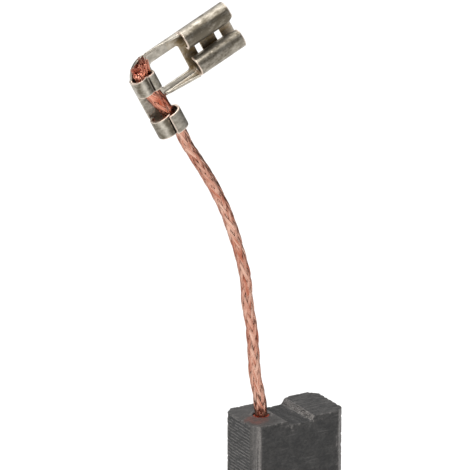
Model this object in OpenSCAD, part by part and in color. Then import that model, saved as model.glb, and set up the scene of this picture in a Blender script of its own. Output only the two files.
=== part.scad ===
// Carbon brush: a graphite block with a spring groove across its top, a braided
// copper lead tamped into a bore, and a folded flag receptacle crimped on the lead.
// The wear face lies on Z = 0, the brush stands along +Z, and the spring groove
// runs along Y.

/* [Carbon block] */
// Width of the block, across the spring groove
block_w = 12.5; // [10:0.1:20]
// Thickness of the block, along the spring groove
block_t = 7.1; // [5:0.1:12]
// Length of the block, from the wear face to the top
block_h = 20; // [14:0.5:40]
// Leg of the chamfer along each of the four long edges
edge_chamfer = 0.95; // [0.3:0.05:1.5]

/* [Spring groove] */
// Distance of the top of the groove's steep wall from the block's left side
groove_from_side = 4.5; // [4.4:0.1:5.5]
// Slope of the groove's steep wall, from the floor
groove_steep = 62; // [50:1:90]
// Width of the groove's flat floor
groove_floor_w = 2.85; // [1.5:0.05:4]
// Depth of the groove at the middle of the block
groove_depth = 0.7; // [0.6:0.05:2]
// Slope of the groove's inclined wall, from the floor
groove_slope = 52; // [35:1:75]
// Fall of the groove floor towards the back
groove_fall = 2.5; // [0:0.5:4]
// Radius between the floor and the inclined wall
groove_fillet = 0.5; // [0.2:0.05:0.6]
// Rounding of the rim above the inclined wall
groove_rim = 0.4; // [0.1:0.05:0.6]

/* [Lead bore] */
// Diameter of the bore that holds the lead
bore_d = 2.5; // [2:0.1:3]
// Distance of the bore's axis from the block's left side
bore_from_side = 3.05; // [2.9:0.05:4]
// Depth of the bore, down to the start of its drill point
bore_depth = 7.5; // [5:0.5:10]
// Point angle of the drill that made the bore
drill_point = 118; // [90:2:140]
// Countersink that the worn rim of the bore amounts to
bore_rim = 0.08; // [0.02:0.01:0.2]

/* [Lead] */
// Diameter of the braided lead
lead_d = 1.4; // [1:0.1:1.8]
// How far the tamped powder lies below the mouth of the bore
powder_recess = 0.35; // [0.1:0.05:1]
// How far the lead's buried end stays above the bottom of the bore
lead_end_gap = 1; // [0.5:0.1:3]
// Clearance round the lead in the powder and over the terminal's sheet
lead_fit = 0.03; // [0.02:0.01:0.1]

/* [Terminal sheet] */
// Thickness of the sheet metal
sheet_t = 0.3; // [0.2:0.05:0.4]
// Angle of the receptacle above the horizontal
terminal_tilt = 27.7; // [0:0.1:60]
// Turn of the terminal about the vertical
terminal_turn = -5.4; // [-30:0.1:30]

/* [Receptacle] */
// Width of the receptacle over its two rolls
socket_w = 5.9; // [5.4:0.1:8]
// Length of the rolls
socket_len = 6.1; // [4:0.1:8]
// Outer radius of each roll
roll_r = 1.18; // [1:0.02:1.3]
// How square the rolls are: 2 is round, and more flattens their four sides
roll_square = 2.3; // [2:0.1:3]
// Thickness of the tab that the rolls grip
tab_t = 0.8; // [0.5:0.1:0.8]
// Length of the lead-in at the mouth
mouth_len = 1.7; // [0.5:0.1:2.5]
// How far the lead-in cuts back each roll's edge
mouth_cut = 0.8; // [0.2:0.1:1]
// Length of each slot in the receptacle's floor
slot_len = 0.68; // [0.3:0.02:1]
// Length of the bridge between the two slots
bridge_len = 2; // [1:0.1:2.5]
// Width of the two slots
slot_w = 3; // [2:0.1:3.4]

/* [Frame] */
// Width of the frame over its side walls
frame_w = 5.5; // [5:0.1:7]
// Height of the side walls next to the rolls, above the sheet
wall_high = 1.05; // [0.5:0.05:1.8]
// Length of the square window, along the receptacle
window_len = 3.9; // [3:0.1:6]
// Height of the square window
window_h = 3.25; // [2.5:0.05:3.6]
// Offset of the window's middle below the receptacle's axis
window_drop = 0.4; // [0:0.05:0.5]
// Corner radius of the window
window_r = 0.25; // [0.1:0.05:0.6]
// Width of the bar between the window and the rolls
bar_w = 0.5; // [0.3:0.05:1.5]

/* [Crimp strip] */
// Width of the strip that carries the crimps
strip_w = 3; // [2.6:0.1:4]
// Width of the strip between the crimps
neck_w = 2.7; // [2.4:0.1:3.5]
// Length of the crimp on the conductor, at the lead's end
crimp1_len = 2.1; // [1.5:0.1:3]
// Width of the crimp on the conductor
crimp1_w = 2.9; // [2.6:0.1:3.6]
// Length of the support crimp
crimp2_len = 2.4; // [1.5:0.1:3]
// Width of the support crimp
crimp2_w = 3.65; // [3:0.05:4.4]
// Height of the support crimp
crimp2_h = 2.6; // [2.3:0.1:3.2]
// Clear length of the strip between the two crimps
crimp_gap = 3.25; // [1.5:0.05:5]

/* [Hidden] */

// Overlap of a cutter past the surface that it cuts
past = 1;
// Facets along each bend of the sheet, and along each roll
bend_steps = 8;
roll_steps = 24;

// Axis of the bore and middle of its mouth, in the top of the block
mouth = [bore_from_side - block_w / 2, 0, block_h];
// Depth of the cone that the drill's point leaves
point_depth = bore_d / 2 / tan(drill_point / 2);
// Level of the tamped powder and of the lead's buried end
powder_top = block_h - powder_recess;
lead_bottom = block_h - bore_depth + lead_end_gap;

// Top of the groove's steep wall
groove_left = groove_from_side - block_w / 2;

// Free stretch of the lead: steps sideways and up from the mouth of the bore
free_route = [
    [0, 0, 0], [-0.2, 0, 2], [-0.8, 0, 5], [-1.05, 0, 8], [-1.3, 0, 11], [-1.85, 0, 14],
    [-2.1, 0, 17], [-2.8, 0, 20], [-3.75, 0, 23], [-4.9, 0, 26], [-6.4, 0, 29], [-8.2, 0, 32],
    [-9.7, 0, 34.3], [-10.8, 0, 36.5]
];
// Stretch in the crimps: steps along the receptacle and across it, and the share of
// its height that the braid keeps where it is pressed flat
crimp_route = [
    [-4.55, -6.9, 1], [-4.8, -5.7, 1], [-5.2, -4.4, 0.95], [-5.45, -2.9, 0.85], [-5.6, -1.3, 0.75],
    [-5.65, 0, 0.75], [-5.4, 1, 0.85], [-4.8, 1.65, 1]
];
// Height of the braid's middle over the sheet, where it keeps a share of its height
function above_sheet(share) = lead_d / 2 * share + lead_fit;

// Middle planes and seats of the terminal's bends
half_t = sheet_t / 2;
roll_mid = roll_r - half_t;
roll_seat = socket_w / 2 - roll_r;
// Gap that a roll leaves over the receptacle's floor, less than the tab by the roll's spring
roll_spring = 0.05;
grip_gap = tab_t - roll_spring;
// Angle at which a roll's edge stands over the tab
roll_end = 180 + asin((roll_r - sheet_t - grip_gap) / roll_mid);
// Half of the slot between the rolls
slot_half = socket_w / 2 - 2 * roll_r;
// Outer radius of the bends along the frame and the strip
bend_r = 0.55;
// Height of the frame's side walls at the strip, where they have run out
wall_low = 0.1;
// Distance from the rolls' end to the first slot in the floor
slot_from_bar = 1.2;
// Radius of the strip's outer corner
corner_r = 2.6;
// Height of the strip's turned-up edge
lip_h = 0.5;

// Top edge of the window, and sides and middle of the strip
window_top = window_h / 2 - window_drop;
strip_right = -window_len;
strip_left = strip_right - strip_w;
strip_mid = (strip_left + strip_right) / 2;
// Middles of the neck and of the two crimps, each a small step off the strip's middle
neck_mid = strip_mid - 0.1;
crimp1_mid = strip_mid - 0.13;
crimp2_mid = strip_mid + 0.15;
neck_left = neck_mid - neck_w / 2;
// Ends of the two crimps along the strip
crimp1_top = 0.9;
crimp1_end = crimp1_top - crimp1_len;
crimp2_top = crimp1_end - crimp_gap;
crimp2_end = crimp2_top - crimp2_len;
// Outer radii of the crimps' lower corners and of their rolled-in wings
crimp1_low_r = 0.7;
crimp1_roll_r = 0.8;
crimp2_low_r = 1;
crimp2_roll_r = 1.3;
// Height of the conductor crimp, and half of the seam between its wings
crimp1_h = 2.15;
crimp1_seam = 0.15;
// Step down to the support crimp's lower wing, where that wing ends, and how far the
// upper wing reaches past the middle
crimp2_step = 0.25;
crimp2_tuck = 45;
crimp2_lap = 0.05;

// Points of an arc from one angle to another
function arc(middle, radius, from, to) =
    [for (i = [0 : bend_steps]) let (angle = from + (to - from) * i / bend_steps)
        middle + radius * [cos(angle), sin(angle)]];
// The same path on the other side, run the other way
function mirrored(path) = [for (i = [len(path) - 1 : -1 : 0]) [-path[i][0], path[i][1]]];
// Outline of a bent sheet whose middle follows a path
function across(path, i) = let (
        ahead = path[min(i + 1, len(path) - 1)] - path[max(i - 1, 0)]
    ) [-ahead[1], ahead[0]] / norm(ahead);
function bent_sheet(path) = concat(
    [for (i = [0 : len(path) - 1]) path[i] + half_t * across(path, i)],
    [for (i = [len(path) - 1 : -1 : 0]) path[i] - half_t * across(path, i)]
);

// A point of the terminal, in the brush's own frame
function placed(p) = let (
        q = p - exit_point,
        sideways = q[0] * cos(terminal_tilt) - q[1] * sin(terminal_tilt),
        up = q[0] * sin(terminal_tilt) + q[1] * cos(terminal_tilt)
    ) mouth + free_route[len(free_route) - 1] + [
        sideways * cos(terminal_turn) + q[2] * sin(terminal_turn),
        sideways * sin(terminal_turn) - q[2] * cos(terminal_turn),
        up
    ];
exit_point = [crimp_route[0][0], crimp_route[0][1], above_sheet(crimp_route[0][2])];
module at_lead_exit() {
    translate(mouth + free_route[len(free_route) - 1])
        rotate([0, 0, terminal_turn]) rotate([0, -terminal_tilt, 0]) rotate([90, 0, 0])
            translate(-exit_point) children();
}

// ---------- carbon block ----------
module block_outline() {
    w = block_w / 2;
    t = block_t / 2;
    c = edge_chamfer;
    polygon([
        [c - w, -t], [w - c, -t], [w, c - t], [w, t - c],
        [w - c, t], [c - w, t], [-w, t - c], [-w, c - t]
    ]);
}
// Profile of the groove, seen along Y: steep wall, floor, fillet, inclined wall, rounded rim
module groove_profile() {
    slope = groove_slope;
    fillet_run = groove_fillet * tan(slope / 2);
    rim_run = groove_rim * tan(slope / 2);
    floor_x = groove_depth / tan(groove_steep);
    foot_x = floor_x + groove_floor_w;
    rim_x = foot_x + groove_depth / tan(slope) + rim_run;
    outlet = 15;
    polygon(concat(
        [[-past / tan(groove_steep), past], [floor_x, -groove_depth]],
        arc([foot_x - fillet_run, groove_fillet - groove_depth], groove_fillet, 270, 270 + slope),
        arc([rim_x, -groove_rim], groove_rim, 90 + slope, 90 + outlet),
        [[rim_x + past / tan(outlet), past]]
    ));
}
module spring_groove() {
    translate([groove_left, 0, block_h]) rotate([90 - groove_fall, 0, 0])
        linear_extrude(2 * block_t, center = true) groove_profile();
}
// Solid that fills the bore up to a level
module bore_fill(top) {
    translate([mouth[0], mouth[1], 0]) rotate_extrude($fn = 64)
        polygon([
            [0, block_h - bore_depth - point_depth], [bore_d / 2, block_h - bore_depth],
            [bore_d / 2, top], [0, top]
        ]);
}
module carbon_block() {
    color("#4b4a4a") difference() {
        linear_extrude(block_h) block_outline();
        spring_groove();
        bore_fill(block_h + past);
        translate([mouth[0], mouth[1], block_h - bore_rim])
            cylinder(h = bore_rim + past, r1 = bore_d / 2, r2 = bore_d / 2 + bore_rim + past, $fn = 64);
    }
}

// ---------- lead ----------
module tamped_powder() {
    color("#8a4a34") difference() {
        bore_fill(powder_top);
        translate([mouth[0], mouth[1], lead_bottom])
            cylinder(h = block_h, r = lead_d / 2 + lead_fit, $fn = 48);
    }
}
// Tube swept along a route; each ring keeps a share of its height and widens as it loses it
module tube(route, shares, diameter, sides = 8) {
    function heading(i) = let (
            ahead = route[min(i + 1, len(route) - 1)] - route[max(i - 1, 0)]
        ) ahead / norm(ahead);
    function ring(i) = let (
            side = cross(heading(i), [0, 1, 0]),
            out = side / norm(side),
            over = cross(heading(i), out)
        ) [for (k = [0 : sides - 1]) let (angle = 360 * k / sides)
            route[i] + diameter / 2 * (out * cos(angle) / shares[i] + over * sin(angle) * shares[i])];
    last = len(route) - 1;
    polyhedron(
        points = [for (i = [0 : last]) each ring(i)],
        faces = concat(
            [[for (k = [0 : sides - 1]) k]],
            [for (i = [0 : last - 1], k = [0 : sides - 1]) let (
                    a = i * sides + k,
                    b = i * sides + (k + 1) % sides
                ) [a, a + sides, b + sides, b]],
            [[for (k = [sides - 1 : -1 : 0]) last * sides + k]]
        )
    );
}
lead_route = concat(
    [for (z = [lead_bottom, (lead_bottom + powder_top) / 2, powder_top]) [mouth[0], mouth[1], z]],
    [for (p = free_route) mouth + p],
    [for (i = [1 : len(crimp_route) - 1]) let (p = crimp_route[i]) placed([p[0], p[1], above_sheet(p[2])])]
);
lead_shares = concat(
    [for (i = [1 : len(lead_route) - len(crimp_route)]) 1],
    [for (p = crimp_route) p[2]]
);
module lead() {
    color("#c67a5c") tube(lead_route, lead_shares, lead_d);
}

// ---------- terminal ----------
// A section drawn in Y and Z, drawn out along X
module along_x(from, to) {
    translate([from, 0, 0]) rotate([90, 0, 90]) linear_extrude(to - from) children();
}
// A section drawn in X and Z, drawn out along Y
module along_y(from, to) {
    translate([0, to, 0]) rotate([90, 0, 0]) linear_extrude(to - from) children();
}
// Points along a roll, from one angle to another
function roll_path(middle, radius, from, to) =
    [for (i = [0 : roll_steps]) let (
            angle = from + (to - from) * i / roll_steps,
            out = pow(abs(cos(angle)), roll_square) + pow(abs(sin(angle)), roll_square)
        ) middle + radius * pow(out, -1 / roll_square) * [cos(angle), sin(angle)]];
// Floor and two rolls, bent from one strip
module socket_section() {
    right = concat([[0, -half_t]], roll_path([roll_seat, roll_r - sheet_t], roll_mid, -90, roll_end));
    polygon(bent_sheet(concat(mirrored(right), [for (i = [1 : len(right) - 1]) right[i]])));
}
// Floor and two low walls
function tray_half(half_width, height, from = 0) = concat(
    [[from, -half_t]],
    arc([half_width - bend_r, bend_r - sheet_t], bend_r - half_t, -90, 0),
    [[half_width - half_t, height]]
);
module tray_section(half_width, height) {
    right = tray_half(half_width, height);
    polygon(bent_sheet(concat(mirrored(right), [for (i = [1 : len(right) - 1]) right[i]])));
}
// Shape that widens the slot at the mouth into a lead-in
module lead_in() {
    radius = (pow(mouth_len, 2) + pow(mouth_cut, 2)) / (2 * mouth_cut);
    start = bar_w + socket_len - mouth_len;
    side = concat(
        arc([start, slot_half + radius], radius, -90, -90 + asin(mouth_len / radius)),
        [[bar_w + socket_len + past, slot_half + mouth_cut]]
    );
    polygon(concat(side, [for (i = [len(side) - 1 : -1 : 0]) [side[i][0], -side[i][1]]]));
}
module receptacle() {
    difference() {
        along_x(bar_w, bar_w + socket_len) socket_section();
        translate([0, 0, half_t]) linear_extrude(3 * roll_r) lead_in();
        for (x = [bar_w + slot_from_bar, bar_w + slot_from_bar + slot_len + bridge_len])
            translate([x, -slot_w / 2, -2 * sheet_t]) cube([slot_len, slot_w, 2 * sheet_t + half_t]);
    }
}
module rounded_rect(size, radius) {
    translate([radius, 0]) square([size[0] - 2 * radius, size[1]]);
    translate([0, radius]) square([size[0], size[1] - 2 * radius]);
    for (x = [radius, size[0] - radius], y = [radius, size[1] - radius])
        translate([x, y]) circle(r = radius, $fn = 32);
}
// A flat piece of the sheet, its upper face level with the receptacle's floor
module flat_sheet() {
    translate([0, 0, -sheet_t]) linear_extrude(sheet_t) children();
}
// Arms and bar round the window, with side walls that taper away from the rolls
module frame() {
    difference() {
        intersection() {
            along_x(strip_left + corner_r, bar_w) tray_section(frame_w / 2, wall_high);
            rotate([90, 0, 0]) linear_extrude(2 * socket_w, center = true) polygon([
                [strip_left, -past], [bar_w + past, -past], [bar_w + past, wall_high],
                [bar_w, wall_high], [strip_right, wall_low], [strip_left, wall_low]
            ]);
        }
        translate([strip_right, window_top - window_h, -past])
            linear_extrude(2 * past) rounded_rect([window_len, window_h], window_r);
        translate([strip_left, -socket_w, -past]) cube([strip_w, socket_w - window_h / 2, 3 * past]);
    }
}
// Turned-up left edge of the strip
module edge_section() {
    polygon(bent_sheet(mirrored(tray_half(bend_r, lip_h, -bend_r))));
}
module crimp_strip() {
    translate([neck_mid, 0, 0]) along_y(crimp2_top, -frame_w / 2) tray_section(neck_w / 2, lip_h);
    flat_sheet() polygon(concat(
        [[neck_left + bend_r, -frame_w / 2], [strip_right, -frame_w / 2],
         [strip_right, frame_w / 2 - bend_r]],
        arc([strip_left + corner_r, frame_w / 2 - corner_r], corner_r - bend_r, 90, 180)
    ));
    translate([neck_left + bend_r, 0, 0]) along_y(-frame_w / 2, crimp1_end) edge_section();
    translate([strip_left + corner_r, frame_w / 2 - corner_r, 0])
        rotate([0, 0, 90]) rotate_extrude(angle = 90, $fn = 64)
            polygon(bent_sheet(tray_half(corner_r, lip_h, corner_r - 2 * bend_r)));
}
// One side of a crimp: the wing rolled in from an end angle, and the lower corner
function crimp_side(width, height, roll, low, end) = concat(
    arc([roll - width / 2, height - sheet_t - roll], roll - half_t, end, 180),
    arc([low - width / 2, low - sheet_t], low - half_t, 180, 270)
);
// Wings rolled in until their edges dip between the strands
module conductor_crimp() {
    tip = acos((crimp1_w / 2 - crimp1_roll_r - crimp1_seam) / (crimp1_roll_r - half_t));
    left = crimp_side(crimp1_w, crimp1_h, crimp1_roll_r, crimp1_low_r, tip);
    translate([crimp1_mid, 0, 0]) along_y(crimp1_end, crimp1_top)
        polygon(bent_sheet(concat(left, mirrored(left))));
}
// Wings closed round the lead, one edge over the other
module support_crimp() {
    left = crimp_side(crimp2_w, crimp2_h - crimp2_step, crimp2_roll_r, crimp2_low_r, crimp2_tuck);
    right = concat(
        [[crimp2_lap, crimp2_h - sheet_t - half_t]],
        crimp_side(crimp2_w, crimp2_h, crimp2_roll_r, crimp2_low_r, 90)
    );
    translate([crimp2_mid, 0, 0]) along_y(crimp2_end, crimp2_top)
        polygon(bent_sheet(concat(left, mirrored(right))));
}
module terminal() {
    color("#a39b8e") at_lead_exit() {
        receptacle();
        frame();
        crimp_strip();
        conductor_crimp();
        support_crimp();
    }
}

carbon_block();
tamped_powder();
lead();
terminal();
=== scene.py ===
"""Looks of a carbon brush: a graphite block, a braided copper lead and a folded flag receptacle."""

import logging
import math
import random
from collections import Counter
from dataclasses import dataclass, field, replace
from enum import Enum
from typing import Callable, Iterable, Sequence

import bmesh
import bpy
from mathutils import Matrix, Vector, noise
from mathutils.kdtree import KDTree


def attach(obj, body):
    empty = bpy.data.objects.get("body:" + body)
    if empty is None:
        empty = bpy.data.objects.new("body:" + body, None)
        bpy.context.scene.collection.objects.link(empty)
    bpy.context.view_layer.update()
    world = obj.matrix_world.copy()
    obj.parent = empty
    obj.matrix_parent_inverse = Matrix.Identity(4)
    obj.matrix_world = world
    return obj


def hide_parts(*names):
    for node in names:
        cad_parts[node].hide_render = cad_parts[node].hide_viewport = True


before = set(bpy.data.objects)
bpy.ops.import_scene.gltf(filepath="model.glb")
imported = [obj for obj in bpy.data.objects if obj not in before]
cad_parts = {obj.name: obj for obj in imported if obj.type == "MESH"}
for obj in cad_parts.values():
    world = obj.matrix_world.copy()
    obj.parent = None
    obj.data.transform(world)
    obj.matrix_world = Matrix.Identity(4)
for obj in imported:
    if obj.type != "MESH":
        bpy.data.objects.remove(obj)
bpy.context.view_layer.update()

MM = 0.001
TERMINAL_TILT = 27.7
TERMINAL_TURN = -5.4
LOG = logging.getLogger("carbon_brush")
Point = tuple[float, float, float]
Colour = tuple[float, float, float]
Path = list[tuple[float, float]]


class Slot(Enum):
    """Material slots of the record."""

    GRAPHITE = "graphite"
    POWDER = "copper_powder"
    BRAID = "copper_braid"
    SHEET = "plated_sheet"


class Pick(Enum):
    """Kinds of mesh element that a selection takes."""

    VERT = "VERT"
    EDGE = "EDGE"
    FACE = "FACE"


class Primitive(Enum):
    """Mesh shapes that a piece starts from."""

    CUBE = "cube"
    CYLINDER = "cylinder"
    PLANE = "plane"
    CIRCLE = "circle"


class Along(Enum):
    """Axis that a section is drawn out along."""

    X = "X"
    Y = "Y"


class Plane(Enum):
    """Planes and walls of the block."""

    SIDE = "side"
    FACE = "face"
    TOP = "top"
    FOOT = "foot"
    CHAMFER = "chamfer"
    FLOOR = "floor"
    STEEP = "steep"
    INCLINE = "incline"
    BORE = "bore"


def held(value: float) -> float:
    """Returns a value held between 0 and 1."""
    return max(0.0, min(1.0, value))


# ---------------------------------------------------------------- shader maths


@dataclass(frozen=True)
class Signal:
    """A node's socket that takes part in sums and products."""

    graph: "Graph"
    socket: bpy.types.NodeSocket

    def _math(self, operation: str, first: "Signal | float", second: "Signal | float") -> "Signal":
        """Returns a Math node's result on two values."""
        return self.graph.add("ShaderNodeMath", {"operation": operation}, {0: first, 1: second})

    def __add__(self, other: "Signal | float") -> "Signal":
        """Returns the sum."""
        return self._math("ADD", self, other)

    def __sub__(self, other: "Signal | float") -> "Signal":
        """Returns the difference."""
        return self._math("SUBTRACT", self, other)

    def __rsub__(self, other: float) -> "Signal":
        """Returns the difference from a number."""
        return self._math("SUBTRACT", other, self)

    def __mul__(self, other: "Signal | float") -> "Signal":
        """Returns the product."""
        return self._math("MULTIPLY", self, other)

    __radd__ = __add__
    __rmul__ = __mul__

    def ramp(self, low: float, high: float, start: float = 0.0, end: float = 1.0) -> "Signal":
        """Stretches a range of values.

        Args:
            low: Value that becomes start.
            high: Value that becomes end.
            start: Result at low and below.
            end: Result at high and above.

        Returns:
            The clamped result.
        """
        sockets = {0: self, 1: low, 2: high, 3: start, 4: end}
        return self.graph.add("ShaderNodeMapRange", {"clamp": True}, sockets)

    def absolute(self) -> "Signal":
        """Returns the value without its sign."""
        return self._math("ABSOLUTE", self, 0.0)

    def clamped(self) -> "Signal":
        """Returns the value held between 0 and 1."""
        return self.ramp(0.0, 1.0)


class Graph:
    """Node tree of one material."""

    def __init__(self, name: str) -> None:
        """Makes an empty material.

        Args:
            name: Name of the material.
        """
        self.material = bpy.data.materials.new(name)
        self.material.use_nodes = True
        self.tree = self.material.node_tree
        self.tree.nodes.clear()

    def add(
        self,
        kind: str,
        settings: dict[str, object] | None = None,
        sockets: dict[int | str, object] | None = None,
        output: int | str = 0,
    ) -> Signal:
        """Adds any node.

        Args:
            kind: Type of the node.
            settings: Its settings, set before its sockets.
            sockets: Values or signals of its inputs.
            output: Output that is wanted.

        Returns:
            The node's output as a signal.
        """
        node = self.tree.nodes.new(kind)
        for name, value in (settings or {}).items():
            setattr(node, name, value)
        for key, value in (sockets or {}).items():
            if isinstance(value, Signal):
                self.tree.links.new(value.socket, node.inputs[key])
            else:
                node.inputs[key].default_value = value
        return Signal(self, node.outputs[output])

    def mixed(self, factor: Signal | float, first: object, second: object) -> Signal:
        """Mixes two colours.

        Args:
            factor: Share of the second colour.
            first: Colour or signal at 0.
            second: Colour or signal at 1.

        Returns:
            The mixed colour.
        """
        ends = [(*c, 1.0) if isinstance(c, tuple) else c for c in (first, second)]
        return self.add("ShaderNodeMix", {"data_type": "RGBA"}, {0: factor, 6: ends[0], 7: ends[1]}, 2)

    def place(self, scale: Point = (1000.0, 1000.0, 1000.0)) -> Signal:
        """Returns object coordinates, by default in millimetres, stretched along each axis."""
        source = self.add("ShaderNodeTexCoord", output="Object")
        return self.add("ShaderNodeMapping", {}, {"Vector": source, "Scale": scale})

    def noise(self, scale: float, detail: float = 2.0, stretch: Point = (1.0, 1.0, 1.0)) -> Signal:
        """Adds a noise pattern.

        Args:
            scale: Lumps for each millimetre.
            detail: Octaves of finer noise.
            stretch: Factor along each axis.

        Returns:
            The noise's value, about 0.5 in the middle.
        """
        vector = self.place(tuple(1000.0 * s for s in stretch))
        return self.add("ShaderNodeTexNoise", {}, {"Vector": vector, "Scale": scale, "Detail": detail})

    def attribute(self, name: str) -> Signal:
        """Returns a number that the mesh carries."""
        return self.add("ShaderNodeAttribute", {"attribute_name": name}, output="Fac")

    def normal_part(self, axis: int) -> Signal:
        """Returns how much a face looks along an axis, without its sign."""
        normal = self.add("ShaderNodeNewGeometry", output="Normal")
        return self.add("ShaderNodeSeparateXYZ", {}, {0: normal}, axis).absolute()

    def finish(
        self,
        colour: object,
        roughness: Signal | float,
        metallic: float,
        relief: Signal | None = None,
        height: float = 0.02,
    ) -> bpy.types.Material:
        """Adds the surface shader.

        Args:
            colour: Colour or signal of the surface.
            roughness: Roughness or its signal.
            metallic: 1 for bare metal, 0 for the rest.
            relief: Height signal of the fine relief.
            height: Height of the relief, in millimetres.

        Returns:
            The finished material.
        """
        base = (*colour, 1.0) if isinstance(colour, tuple) else colour
        sockets = {"Base Color": base, "Roughness": roughness, "Metallic": metallic}
        if relief is not None:
            bump = {"Height": relief, "Strength": 1.0, "Distance": height * MM}
            sockets["Normal"] = self.add("ShaderNodeBump", {}, bump)
        shader = self.add("ShaderNodeBsdfPrincipled", {}, sockets)
        output = self.tree.nodes.new("ShaderNodeOutputMaterial")
        self.tree.links.new(shader.socket, output.inputs["Surface"])
        return self.material


# ---------------------------------------------------------------- finishes


@dataclass(frozen=True)
class GraphiteFinish:
    """Pressed graphite, ground on its sides, with a red powder stain by the bore, painted shade in its
    recesses and a painted highlight on its chamfer.
    """

    dark: Colour = (0.0095, 0.0092, 0.0090)
    pale: Colour = (0.105, 0.100, 0.096)
    polished: Colour = (0.230, 0.215, 0.205)
    stain: Colour = (0.170, 0.055, 0.040)
    stain_at: Point = (-4.5, -1.3, 20.0)
    stain_core: float = 2.2
    stain_reach: float = 2.9
    stain_wander: float = 2.4
    saw_scale: float = 0.80
    saw_wobble: float = 1.3
    saw_tone: float = 1.7
    narrow_shift: float = -0.16
    top_shift: float = -0.02
    body_shift: float = -0.06
    swirl_tone: float = 0.34
    ground_tone: float = 0.55
    scratch_tone: float = 0.30
    speck_tone: float = 0.26
    mottle_tone: float = 0.16
    grit_tone: float = 0.20
    grit_shine: float = 0.75
    saw_shine: float = 0.22
    rough: float = 0.50
    relief_height: float = 0.07

    def saw_marks(self, g: Graph) -> Signal:
        """Draws the saw's lines across the narrow faces, broken here and there.

        Args:
            g: Node tree of the finish.

        Returns:
            The lines.
        """
        bands = {"Scale": self.saw_scale, "Distortion": self.saw_wobble, "Detail": 2.0, "Detail Scale": 1.6}
        wave = g.add("ShaderNodeTexWave", {"bands_direction": "Z"}, {"Vector": g.place(), **bands}, "Fac")
        return wave.ramp(0.45, 0.85) * g.noise(2.6, 2.0, (1.0, 0.5, 1.6)).ramp(0.38, 0.58)

    def stain_patch(self, g: Graph) -> Signal:
        """Draws the ragged patch that powder has stained beside the bore.

        Args:
            g: Node tree of the finish.

        Returns:
            The patch.
        """
        ends = {0: g.place(), 1: self.stain_at}
        shift = g.add("ShaderNodeVectorMath", {"operation": "DISTANCE"}, ends, "Value")
        shift = shift + g.noise(1.3, 3.0) * self.stain_wander
        return shift.ramp(self.stain_core, self.stain_reach, 1.0, 0.0)

    def material(self) -> bpy.types.Material:
        """Mixes the finish.

        Returns:
            The material.
        """
        g = Graph("graphite_finish")
        narrow = g.normal_part(0).ramp(0.9, 0.99)
        wide = g.normal_part(1).ramp(0.9, 0.99)
        top = g.normal_part(2).ramp(0.6, 0.9)
        speck = g.noise(3.0, 4.0).ramp(0.40, 0.60)
        mottle = g.noise(0.8, 3.0).ramp(0.38, 0.62)
        grit = g.noise(5.0, 2.0).ramp(0.46, 0.60)
        saw = self.saw_marks(g)
        drawn = g.noise(6.0, 1.0, (1.0, 1.0, 0.04)).ramp(0.40, 0.60)
        ground = g.noise(3.0, 2.0, (1.0, 0.10, 1.0)).ramp(0.38, 0.62)
        scratch = g.noise(2.2, 1.0, (0.22, 1.0, 2.2)).ramp(0.64, 0.72)
        swirl = g.noise(2.4, 2.0, (0.25, 1.3, 1.0)).ramp(0.40, 0.60)
        groove = g.attribute("groove")
        # Burnished edges, with a painted highlight on the chamfer.
        polish_and_sheen = g.attribute("polish_and_sheen")
        tone = speck * self.speck_tone + mottle * self.mottle_tone + self.body_shift
        tone = tone + narrow * (saw * self.saw_tone + grit * self.grit_tone + self.narrow_shift)
        tone = tone + top * (swirl * self.swirl_tone + self.top_shift)
        # Tone per plane: painted shade in the groove, on its steep wall, in the bore and along its rim;
        # lighter on the left plateau and the incline.
        tone = tone + g.attribute("lift") + groove * (ground - 0.5) * self.ground_tone
        tone = tone + wide * scratch * self.scratch_tone
        body = g.mixed(tone.clamped(), self.dark, self.pale)
        shine = polish_and_sheen * (0.26 + drawn * 0.40 + grit * 0.30)
        shine = shine + groove * grit * g.attribute("grit") * self.grit_shine
        shine = shine + narrow * saw * grit * self.saw_shine
        body = g.mixed(shine.clamped(), body, self.polished)
        patch = self.stain_patch(g) * top
        body = g.mixed((patch * (0.18 + 0.40 * mottle)).clamped(), body, self.stain)
        relief = narrow * saw + speck * 0.45 + groove * ground * 0.8 + polish_and_sheen * drawn * 0.4
        rough = self.rough + speck * 0.2 + patch * 0.2
        return g.finish(body, rough, 0.0, relief, self.relief_height)


@dataclass(frozen=True)
class CopperFinish:
    """Bare copper wires, with painted shade between and under the strands."""

    bright: Colour = (0.98, 0.64, 0.50)
    dull: Colour = (0.55, 0.19, 0.118)
    warm: Colour = (1.0, 0.50, 0.36)
    deep: Colour = (0.50, 0.12, 0.065)
    # Colour of the painted shade between and under the strands.
    gap_shade: Colour = (0.11, 0.026, 0.014)
    relief_height: float = 0.008

    def material(self) -> bpy.types.Material:
        """Mixes the finish.

        Returns:
            The material.
        """
        g = Graph("copper_wire")
        tarnish = g.noise(1.1, 3.0)
        fine = g.noise(7.0, 2.0)
        shade = g.attribute("shade") * 0.8 + tarnish.ramp(0.3, 0.7) * 0.25
        fresh = g.mixed(shade.clamped(), self.dull, self.bright)
        hot = g.mixed(shade.clamped(), self.deep, self.warm)
        body = g.mixed(g.attribute("warmth"), fresh, hot)
        # Painted shade where a strand lies deeper or under another.
        body = g.mixed(g.attribute("depth").clamped(), body, self.gap_shade)
        rough = 0.20 + fine * 0.16
        return g.finish(body, rough, 1.0, fine, self.relief_height)


@dataclass(frozen=True)
class PowderFinish:
    """Tamped copper and graphite powder."""

    red: Colour = (0.55, 0.080, 0.030)
    dark: Colour = (0.090, 0.014, 0.008)
    rough: float = 0.62
    relief_height: float = 0.06

    def material(self) -> bpy.types.Material:
        """Mixes the finish.

        Returns:
            The material.
        """
        g = Graph("tamped_powder")
        grain = g.noise(11.0, 3.0)
        body = g.mixed(grain.ramp(0.35, 0.62), self.dark, self.red)
        return g.finish(body, self.rough, 0.0, grain, self.relief_height)


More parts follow.
